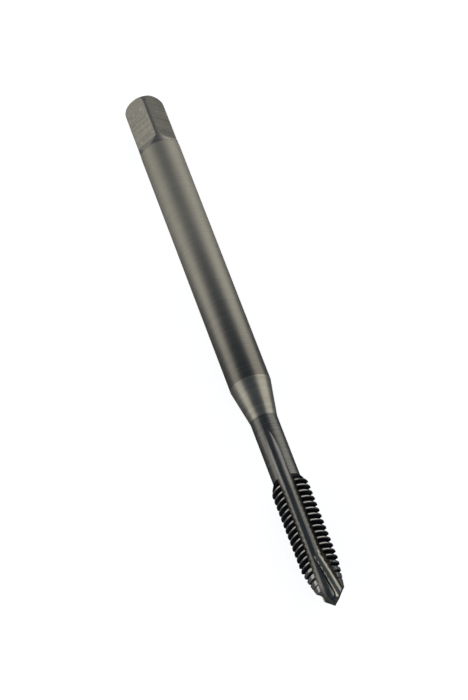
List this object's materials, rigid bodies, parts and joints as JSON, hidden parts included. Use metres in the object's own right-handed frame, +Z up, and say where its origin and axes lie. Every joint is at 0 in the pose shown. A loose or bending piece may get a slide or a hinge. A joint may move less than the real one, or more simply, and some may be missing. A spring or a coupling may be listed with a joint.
{
  "type": "thread tap",
  "caption": "Dark steel machine tap lying on its shank: square drive end, round shank, relieved neck, and a fluted cutting thread with spiral-point cuts and a conical tip.",
  "frame": {"origin": "middle of the footprint of the tool as it lies on its side: under the axis, half-way along the length, on the surface it rests on", "axes": "+Y along the tool's axis from the point to the square end, +Z up, the shank resting on z = 0"},
  "size_m": [0.0044, 0.0648, 0.0045],
  "materials": {
    "dark_steel": "steam-oxidised high-speed steel, satin, with fine grinding marks"
  },
  "bodies": {
    "root": {"thread_tap": "dark_steel"}
  },
  "joints": []
}
